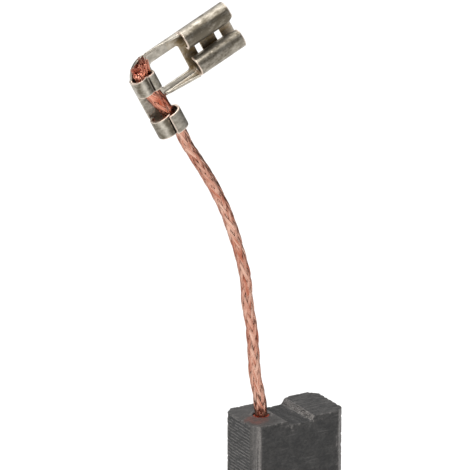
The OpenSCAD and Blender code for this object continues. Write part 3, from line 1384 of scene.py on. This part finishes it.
@dataclass
class PowderPlug:
    """Copper powder tamped round the lead in the bore."""

    layout: Layout
    radius: float = 1.24
    depth: float = 6.6
    rings: int = 9
    ring_w: float = 0.11
    bank: float = 0.22
    bank_at: float = 0.75
    bank_w: float = 0.45
    lump: float = 0.16
    lump_scale: float = 2.1
    grain: float = 0.07
    grain_scale: float = 6.3

    def build(self) -> bpy.types.Object:
        """Fills the bore with a lumpy plug.

        Returns:
            The finished piece.
        """
        top = self.layout.powder_top
        middle = (self.layout.bore_x, 0.0, top - self.depth / 2)
        form = {"radius": self.radius, "depth": 1.0, "vertices": 64}
        plug = Workpiece.start(Primitive.CYLINDER, "powder_plug", (1.0, 1.0, self.depth), middle, **form)
        for _ in range(self.rings):
            plug.pick(Pick.FACE, lambda m: m.z > top - 0.01 and math.hypot(m.x - middle[0], m.y) < 0.01)
            bpy.ops.mesh.inset(thickness=self.ring_w)
        plug.done()
        for vertex in plug.item.data.vertices:
            spot = vertex.co
            if spot.z > top - 0.01:
                reach = math.hypot(spot.x - middle[0], spot.y)
                bank = self.bank * max(0.0, 1.0 - abs(reach - self.bank_at) / self.bank_w)
                lump = self.lump * noise.noise(spot * self.lump_scale)
                grain = self.grain * noise.noise(spot * self.grain_scale)
                vertex.co.z += bank + lump + grain
        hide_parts("tamped_powder")
        return plug.dress(Slot.POWDER, PowderFinish().material(), smooth=60.0)


# ---------------------------------------------------------------- terminal


@dataclass(frozen=True)
class Band:
    """One crimp as its painted shade sees it: its upper end, its length, its seam and its half width."""

    top: float
    length: float
    seam: float
    reach: float

    def holds(self, spot: Vector, low: float, above: float, below: float) -> bool:
        """Returns whether a point lies on the crimp, over a height and between two margins."""
        return spot.z > low and self.top - self.length - below < spot.y < self.top + above


@dataclass
class FlagTerminal:
    """Flag receptacle folded from plated sheet, crimped on the lead, in its own frame."""

    layout: Layout
    sheet: float = 0.3
    socket_w: float = 5.9
    socket_len: float = 6.1
    roll_r: float = 1.18
    roll_square: float = 2.3
    grip_gap: float = 0.75
    mouth_len: float = 1.7
    mouth_cut: float = 0.8
    mouth_cut_low: float = 0.22
    slot_len: float = 0.68
    bridge_len: float = 2.0
    slot_w: float = 3.0
    slot_from_bar: float = 1.2
    bar_w: float = 0.5
    frame_w: float = 5.5
    frame_low: float = 3.12
    strip_foot: float = 3.45
    wall_high: float = 1.05
    wall_low: float = 0.1
    window_len: float = 3.9
    window_top: float = 1.225
    window_low: float = -2.14
    window_r: float = 0.35
    strip_w: float = 3.0
    neck_w: float = 2.7
    corner_r: float = 2.6
    bend_r: float = 0.55
    lip_h: float = 0.5
    crimp1_len: float = 2.1
    crimp1_w: float = 2.9
    crimp1_h: float = 2.15
    crimp1_low_r: float = 0.7
    crimp1_rolls: tuple[float, float] = (1.0, 0.65)
    crimp1_tips: tuple[float, float] = (-0.28, 0.35)
    crimp2_len: float = 2.4
    crimp2_w: float = 3.65
    crimp2_h: float = 2.6
    crimp2_low_r: float = 0.9
    crimp2_roll_r: float = 1.3
    crimp2_step: float = 0.35
    crimp2_tuck: float = 45.0
    crimp2_lap: float = 0.05
    crimp_gap: float = 3.25
    crimp1_top: float = 0.9
    grain: float = 0.0635
    crimp1_shift: float = -0.13
    crimp2_shift: float = 0.15
    rim_w: float = 0.22
    rim_fade: float = 0.08
    # Painted shade on the floor between the rolls, less towards the mouth:
    floor_shade: float = 0.85
    floor_from: float = -0.9
    floor_fade: float = 1.2
    floor_half: float = 2.3
    floor_top: float = 0.2
    mouth_from: float = 5.2
    mouth_less_shade: float = 0.7
    # Painted sheen along the upper roll's top:
    crown_from: float = 2.66
    crown_fade: float = 0.16
    crown_sheen: float = 0.38
    # Tarnish and painted shade on the rolls, more on the upper one, fading towards the bar:
    roll_smoke_and_shade: tuple[float, float] = (0.96, 0.60)
    roll_from: float = 0.1
    roll_fade: float = 0.5
    # Painted shade by each crimp's seam and sides, one wing darker, and a painted glint:
    seam_shade: float = 0.85
    seam_at: float = -0.28
    seam_w: float = 0.22
    side_w: float = 0.25
    glint: float = 0.30
    glint_at: float = -0.62
    glint_w: float = 0.14
    wing_shade: tuple[float, float] = (0.06, 0.30)
    plain_smoke: float = 0.20
    tan_from: float = -1.2
    # Painted seam shadow beside the upper wing:
    gap_w: float = 0.16
    gap_widening: float = 0.22
    gap_fade: float = 0.12
    bands: tuple[Band, ...] = (Band(0.9, 2.1, -5.03, 1.55), Band(-4.45, 2.4, -5.2, 1.8))
    rims: list[Vector] = field(default_factory=list)

    @property
    def half(self) -> float:
        """Half of the sheet's thickness."""
        return self.sheet / 2

    @property
    def strip_right(self) -> float:
        """Right side of the strip that carries the crimps."""
        return -self.window_len

    @property
    def strip_left(self) -> float:
        """Left side of the strip that carries the crimps."""
        return self.strip_right - self.strip_w

    def folded(self, name: str, path: Path, along: Along, start: float, end: float) -> Workpiece:
        """Folds a strip of sheet whose middle follows a path.

        Args:
            name: Name of the strip.
            path: Points of its section.
            along: Axis that the section is drawn out along.
            start: Where the strip begins on that axis.
            end: Where it ends.

        Returns:
            The strip with its thickness.
        """
        def spot(point: tuple[float, float], run: float) -> Vector:
            """Returns a point of the section at a place on the axis."""
            return Vector((run, *point)) if along is Along.X else Vector((point[0], run, point[1]))

        strip = Workpiece.start(Primitive.PLANE, name, (1, 1, 1), (0, 0, 0), size=1.0)
        corners = strip.item.data.vertices
        order = sorted(range(4), key=lambda k: (corners[k].co.y, corners[k].co.x))
        places = [spot(point, run) for point in path[:2] for run in (start, end)]
        for k, place in zip(order, places):
            corners[k].co = place
        last = (spot(path[1], start) + spot(path[1], end)) / 2
        strip.pick(Pick.EDGE, lambda m: (m - last).length < 1e-4)
        for before, after in zip(path[1:], path[2:]):
            step = spot(after, start) - spot(before, start)
            bpy.ops.mesh.extrude_region_move(TRANSFORM_OT_translate={"value": tuple(step)})
        return strip.done()

    def thickened(self, strip: Workpiece, even: bool = True) -> Workpiece:
        """Gives a strip the sheet's thickness, as a rule even round its bends."""
        return strip.modify("SOLIDIFY", thickness=self.sheet, offset=0.0, use_even_offset=even)

    def sheared(self, strip: Workpiece) -> Workpiece:
        """Keeps points along the open edges of a strip, above its floor, which are bare.

        Args:
            strip: Strip that has no thickness yet.

        Returns:
            The same strip.
        """
        data = strip.item.data
        uses = Counter(key for face in data.polygons for key in face.edge_keys)
        for (a, b), count in uses.items():
            one, two = data.vertices[a].co, data.vertices[b].co
            if count == 1 and max(one.z, two.z) > 0.25:
                parts = max(1, round((two - one).length / 0.08))
                self.rims += [one.lerp(two, k / parts) for k in range(parts)]
        return strip

    def opening(
        self, name: str, low: tuple[float, float], high: tuple[float, float], corner: float
    ) -> Workpiece:
        """Makes the cutter of a rectangular opening in the floor.

        Args:
            name: Name of the cutter.
            low: Its lower left corner on the sheet.
            high: Its upper right corner.
            corner: Radius of its corners.

        Returns:
            The cutter.
        """
        size = (high[0] - low[0], high[1] - low[1], 1.0)
        middle = ((low[0] + high[0]) / 2, (low[1] + high[1]) / 2, -0.3)
        tool = Workpiece.start(Primitive.CUBE, name, size, middle, size=1.0)
        tool.pick(Pick.EDGE, lambda m: abs(m.z - middle[2]) < 0.1)
        bpy.ops.mesh.bevel(offset=corner, segments=5, affect="EDGES")
        return tool.done()

    def roll(self) -> Path:
        """Draws the right roll, from the middle of the floor to its edge.

        Returns:
            The points of its section.
        """
        radius = self.roll_r - self.half
        seat = (self.socket_w / 2 - self.roll_r, self.roll_r - self.sheet)
        end = 180 + math.degrees(math.asin((self.roll_r - self.sheet - self.grip_gap) / radius))
        path: Path = [(0.0, -self.half)]
        steps = 30
        for k in range(steps + 1):
            angle = math.radians(-90 + (end + 90) * k / steps)
            c, s = math.cos(angle), math.sin(angle)
            size = (abs(c) ** self.roll_square + abs(s) ** self.roll_square) ** (-1 / self.roll_square)
            path.append((seat[0] + radius * c * size, seat[1] + radius * s * size))
        return path

    def receptacle(self) -> Workpiece:
        """Folds the floor and its two rolls and cuts the lead-in and the slots.

        Returns:
            The receptacle.
        """
        start, end = self.bar_w, self.bar_w + self.socket_len
        right = self.roll()
        section = flipped(right)[:-1] + right
        strip = self.sheared(self.folded("receptacle", section, Along.X, start, end))
        self.thickened(strip)
        tools = [self.lead_in_tool()]
        slot = start + self.slot_from_bar
        for x in (slot, slot + self.slot_len + self.bridge_len):
            low, high = (x, -self.slot_w / 2), (x + self.slot_len, self.slot_w / 2)
            tools.append(self.opening("slot_tool", low, high, 0.06))
        return strip.cut(*tools)

    def lead_in_tool(self) -> Workpiece:
        """Makes the cutter that flares the slot at the mouth.

        Returns:
            The cutter.
        """
        slot = self.socket_w / 2 - 2 * self.roll_r
        end = self.bar_w + self.socket_len
        start = end - self.mouth_len
        edges = []
        for cut in (self.mouth_cut, self.mouth_cut_low):
            radius = (self.mouth_len ** 2 + cut ** 2) / (2 * cut)
            sweep = math.degrees(math.asin(self.mouth_len / radius))
            curve = bend((start, slot + radius), radius, -90, sweep - 90, 8)
            edges.append([*curve, (end + 1, slot + cut + 0.5)])
        outline = edges[0] + [(x, -y) for x, y in reversed(edges[1])]
        return Workpiece.prism("lead_in_tool", [(x, y, self.half) for x, y in outline], (0.0, 0.0, 4.0))

    def tray(self, low: float, high: float, height: float) -> Path:
        """Draws the section of a floor with a wall on each side.

        Args:
            low: How far it reaches on the side of negative values.
            high: How far it reaches on the other side.
            height: Height of its walls.

        Returns:
            The points of the section.
        """
        sides = []
        for reach in (low, high):
            side = bend((reach - self.bend_r, self.bend_r - self.sheet), self.bend_r - self.half, -90, 0, 8)
            sides.append([*side, (reach - self.half, height)])
        return flipped(sides[0]) + sides[1]

    def frame(self) -> Workpiece:
        """Folds the arms and bar round the window, with walls that taper away from the rolls.

        Returns:
            The frame.
        """
        left = self.strip_left + self.corner_r
        path = self.tray(self.frame_low, self.frame_w / 2, self.wall_high)
        strip = self.thickened(self.folded("frame", path, Along.X, left, self.bar_w))
        low, high = (self.strip_right, self.window_low), (0.0, self.window_top)
        window = self.opening("window_tool", low, high, self.window_r)
        arm_end, past = -1.6, 3.0
        middle = (self.strip_right - self.strip_w / 2, arm_end - past / 2, 0.0)
        size = (self.strip_w, past, past)
        corner = Workpiece.start(Primitive.CUBE, "arm_end_tool", size, middle, size=1.0)
        return strip.cut(window, corner, *self.wall_tools())

    def wall_tools(self) -> list[Workpiece]:
        """Makes the cutters that bring the frame's walls down towards the strip.

        Returns:
            The cutters, the sloping one first.
        """
        high, low = self.wall_high + 1.0, self.wall_low
        spans = ((self.strip_right, self.bar_w + 0.5), (self.strip_left, self.strip_right))
        tools = []
        for start, end in spans:
            size = (end - start, 9.0, high - low)
            middle = ((start + end) / 2, 0.0, (high + low) / 2)
            tools.append(Workpiece.start(Primitive.CUBE, "wall_tool", size, middle, size=1.0))
        rise = (self.wall_high - low) / (self.bar_w - self.strip_right)
        end = spans[0][1]
        tools[0].pick(Pick.EDGE, lambda m: m.x > end - 0.01 and m.z < low + 0.01)
        bpy.ops.transform.translate(value=(0.0, 0.0, rise * (end - self.strip_right)))
        tools[0].done()
        return tools

    def strip(self) -> list[Workpiece]:
        """Folds the strip that carries the crimps, with its turned-up edge.

        Returns:
            The neck, the strip's floor and its corner.
        """
        neck_mid = (self.strip_left + self.strip_right) / 2 - 0.1
        low = self.crimp1_top - self.crimp1_len - self.crimp_gap
        brim = self.crimp1_top - self.crimp1_len + 0.1
        neck = [(neck_mid + side * self.neck_w / 2, -self.half) for side in (-1, 1)]
        floor = [(self.strip_left + self.bend_r, -self.half), (self.strip_right, -self.half)]
        top = self.frame_w / 2 - self.corner_r
        return [
            self.thickened(self.folded("neck", neck, Along.Y, low, brim)),
            self.thickened(self.folded("strip_floor", floor, Along.Y, -self.strip_foot, top)),
            self.corner(brim),
        ]

    def corner(self, brim: float) -> Workpiece:
        """Folds the strip's turned-up edge and carries it round its corner.

        Args:
            brim: Where the edge begins.

        Returns:
            The edge and the corner with their thickness.
        """
        middle = Vector((self.strip_left + self.corner_r, self.frame_w / 2 - self.corner_r, -self.half))
        section = [(0.04, -self.half)]
        fold = (self.corner_r - self.bend_r, self.bend_r - self.sheet)
        section += bend(fold, self.bend_r - self.half, -90, 0, 8)
        section.append((self.corner_r - self.half, self.lip_h))
        path = [(middle.x - reach, z) for reach, z in section]
        piece = self.folded("corner", path, Along.Y, brim, middle.y)
        piece.pick(Pick.EDGE, lambda m: abs(m.y - middle.y) < 1e-4)
        bpy.ops.mesh.spin(steps=18, angle=math.radians(90), center=tuple(middle), axis=(0.0, 0.0, 1.0))
        return self.thickened(piece.sealed(), even=False)

    def crimp_side(self, width: float, height: float, roll: float, low: float, end: float) -> Path:
        """Draws the left side of a crimp, its wing and then its lower corner.

        Args:
            width: Width of the crimp.
            height: Height of the wing's top over the underside of the sheet.
            roll: Outer radius of the wing.
            low: Outer radius of the lower corner.
            end: Angle of the wing's edge, in degrees.

        Returns:
            The points of its section.
        """
        wing = bend((roll - width / 2, height - self.sheet - roll), roll - self.half, end, 180)
        return wing + bend((low - width / 2, low - self.sheet), low - self.half, 180, 270, 8)

    def crimps(self) -> list[Workpiece]:
        """Folds the conductor crimp and the support crimp round the lead.

        Returns:
            The two crimps.
        """
        middle = (self.strip_left + self.strip_right) / 2
        sides = []
        for roll, short in zip(self.crimp1_rolls, self.crimp1_tips):
            tip = math.degrees(math.acos((self.crimp1_w / 2 - roll - short) / (roll - self.half)))
            sides.append(self.crimp_side(self.crimp1_w, self.crimp1_h, roll, self.crimp1_low_r, tip))
        radii = (self.crimp2_roll_r, self.crimp2_low_r)
        low = self.crimp_side(self.crimp2_w, self.crimp2_h - self.crimp2_step, *radii, self.crimp2_tuck)
        high = self.crimp_side(self.crimp2_w, self.crimp2_h, *radii, 90)
        high = [(self.crimp2_lap, self.crimp2_h - self.sheet - self.half)] + high
        crimp1_end = self.crimp1_top - self.crimp1_len
        crimp2_top = crimp1_end - self.crimp_gap
        crimp2_end = crimp2_top - self.crimp2_len
        upper, lower = sides[0] + flipped(sides[1]), low + flipped(high)
        sections = (
            ("conductor_crimp", upper, self.crimp1_shift, crimp1_end, self.crimp1_top),
            ("support_crimp", lower, self.crimp2_shift, crimp2_end, crimp2_top),
        )
        crimps = []
        for name, path, shift, start, end in sections:
            moved = [(x + middle + shift, z) for x, z in path]
            crimps.append(self.thickened(self.sheared(self.folded(name, moved, Along.Y, start, end))))
        return crimps

    def smoke_and_shade(self, spot: Vector) -> float:
        """Finds the tarnish and painted shade at a point: painted shade most between the rolls and by the
        seams, less under a painted glint on the crimps.

        Args:
            spot: A point of the surface.

        Returns:
            The tarnish with painted shade, 0 for bright plating.
        """
        if spot.x > self.floor_from:
            return self.socket_smoke_and_shade(spot)
        for band in self.bands:
            if band.holds(spot, 0.6, 0.2, 0.2):
                # Painted shade by the seam and the wing's sides, less under a painted glint; the wing right
                # of the seam darker.
                place = (spot.x - band.seam) / band.reach
                seam, sides = (place - self.seam_at) / self.seam_w, (abs(place) - 1.0) / self.side_w
                dark = min(1.0, math.exp(-seam ** 2) + math.exp(-sides ** 2))
                glint = self.glint * math.exp(-((place - self.glint_at) / self.glint_w) ** 2)
                return self.wing_shade[place > 0] + self.seam_shade * dark - glint
        return self.plain_smoke

    def socket_smoke_and_shade(self, spot: Vector) -> float:
        """Finds the tarnish and painted shade at a point of the receptacle.

        Args:
            spot: A point of the surface.

        Returns:
            Painted shade on the floor, fading towards the mouth; tarnish and painted shade on the rolls,
            fading towards the bar, with a painted sheen along the upper roll's top.
        """
        # Painted shade on the floor between the rolls, less towards the mouth.
        if spot.z < self.floor_top and abs(spot.y) < self.floor_half:
            mouth = self.mouth_less_shade * held((spot.x - self.mouth_from) / self.floor_fade)
            return self.floor_shade * min(1.0, (spot.x - self.floor_from) / self.floor_fade) - mouth
        # Tarnish and painted shade on the rolls, the upper one darker, with a painted sheen along its top.
        upper, lower = self.roll_smoke_and_shade
        crown = held((spot.y - self.crown_from) / self.crown_fade)
        roll = upper - self.crown_sheen * crown if spot.y > 0 else lower
        return roll * held((spot.x - self.roll_from) / self.roll_fade)

    def gap_shade(self, spot: Vector) -> float:
        """Finds how much of the seam's shadow falls at a point beside the upper wing.

        Args:
            spot: A point of the surface.

        Returns:
            The shadow's share.
        """
        for band in self.bands:
            if spot.x < band.seam and band.holds(spot, 0.9, 0.05, 0.1):
                width = self.gap_w + self.gap_widening * (band.top - spot.y) / band.length
                return held((spot.x - band.seam + width) / self.gap_fade)
        return 0.0

    def build(self) -> bpy.types.Object:
        """Folds the terminal's parts and runs them into one sheet.

        Returns:
            The finished piece.
        """
        parts = [self.receptacle(), self.frame(), *self.strip(), *self.crimps()]
        whole = parts[0].joined(parts[1:])
        whole.item.name = whole.item.data.name = "flag_terminal"
        whole.modify("REMESH", mode="VOXEL", voxel_size=self.grain)
        whole.modify("SMOOTH", factor=0.5, iterations=3)
        tree = KDTree(len(self.rims))
        for k, spot in enumerate(self.rims):
            tree.insert(spot, k)
        tree.balance()
        near = [tree.find(v.co)[2] for v in whole.item.data.vertices]
        spots = [v.co for v in whole.item.data.vertices]
        whole.numbers("rim", [held((self.rim_w - d) / self.rim_fade) for d in near])
        # Tarnish with painted shade, sheen and glint, then the painted seam shadow.
        whole.numbers("smoke_and_shade", [self.smoke_and_shade(spot) for spot in spots])
        whole.numbers("gap_shade", [self.gap_shade(spot) for spot in spots])
        tans = [float(spot.z < self.floor_top and spot.x > self.tan_from) for spot in spots]
        whole.numbers("tan", tans)
        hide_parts("terminal")
        return whole.dress(Slot.SHEET, SheetFinish().material(), self.layout.terminal())


# ---------------------------------------------------------------- studio


@dataclass
class Studio:
    """Pale floor, soft lights and the camera."""

    eye: Point = (-198.073, -328.918, 168.660)
    right: Point = (0.86434, -0.50291, 0.0)
    up: Point = (0.15811, 0.27183, 0.94922)
    back: Point = (-0.47735, -0.82055, 0.31445)
    lens: float = 269.2
    aim: Point = (0.0, 0.0, 0.035)
    floor: float = 4.0
    world_grey: float = 0.9
    world_strength: float = 0.22

    def camera(self) -> bpy.types.Object:
        """Sets up the camera.

        Returns:
            The camera's object.
        """
        data = bpy.data.cameras.new("camera")
        data.lens = self.lens
        data.sensor_width = 36.0
        data.clip_start = 0.01
        data.clip_end = 20.0
        item = bpy.data.objects.new("camera", data)
        turn = Matrix((self.right, self.up, self.back)).transposed().to_4x4()
        item.matrix_world = Matrix.Translation(Vector(self.eye) * MM) @ turn
        bpy.context.scene.collection.objects.link(item)
        bpy.context.scene.camera = item
        return item

    def lamp(self, name: str, place: Point, size: float, power: float, colour: Colour) -> None:
        """Hangs a square soft light that points at the lead.

        Args:
            name: Name of the light.
            place: Its place, in metres.
            size: Side of the square, in metres.
            power: Power in watts.
            colour: Colour of its light.
        """
        data = bpy.data.lights.new(name, "AREA")
        data.shape = "SQUARE"
        data.size = size
        data.energy = power
        data.color = colour
        item = bpy.data.objects.new(name, data)
        turn = (Vector(self.aim) - Vector(place)).to_track_quat("-Z", "Y")
        item.matrix_world = Matrix.Translation(place) @ turn.to_matrix().to_4x4()
        bpy.context.scene.collection.objects.link(item)

    def build(self) -> None:
        """Lays the floor and hangs the lights."""
        plate = Workpiece.start(Primitive.PLANE, "floor", (1, 1, 1), (0, 0, 0), size=self.floor)
        g = Graph("pale_floor")
        plate.item.data.materials.append(g.finish((0.92, 0.92, 0.92), 0.9, 0.0))
        self.lamp("key", (-0.45, -0.45, 0.75), 0.45, 4.6, (1.0, 0.985, 0.96))
        self.lamp("fill", (0.65, -0.55, 0.45), 0.5, 0.9, (0.97, 0.985, 1.0))
        self.lamp("overhead", (0.0, 0.25, 1.0), 0.9, 9.5, (1.0, 1.0, 1.0))
        self.lamp("backdrop", (0.05, 0.95, 0.62), 0.45, 0.8, (1.0, 1.0, 1.0))
        world = bpy.data.worlds.new("studio")
        world.use_nodes = True
        sky = world.node_tree.nodes["Background"].inputs
        sky["Color"].default_value = (*[self.world_grey] * 3, 1.0)
        sky["Strength"].default_value = self.world_strength
        bpy.context.scene.world = world
        bpy.context.scene.view_settings.view_transform = "Standard"


def main() -> None:
    """Builds the brush and its studio."""
    logging.basicConfig(level=logging.INFO, format="%(name)s: %(message)s")
    layout = Layout()
    studio = Studio()
    studio.camera()
    lead, line = Lead(layout).build()
    fray = Fray(layout).build()
    terminal = FlagTerminal(layout).build()
    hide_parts("lead")
    length = sum((b - a).length for a, b in zip(line, line[1:]))
    LOG.info("lead: %.2f mm long", length)
    [tuple(p * MM) for p in line[::4] + [line[-1]]]
    CarbonBlock(layout).build()
    PowderPlug(layout).build()
    studio.build()
    bpy.context.view_layer.update()


if __name__ == "__main__":
    main()
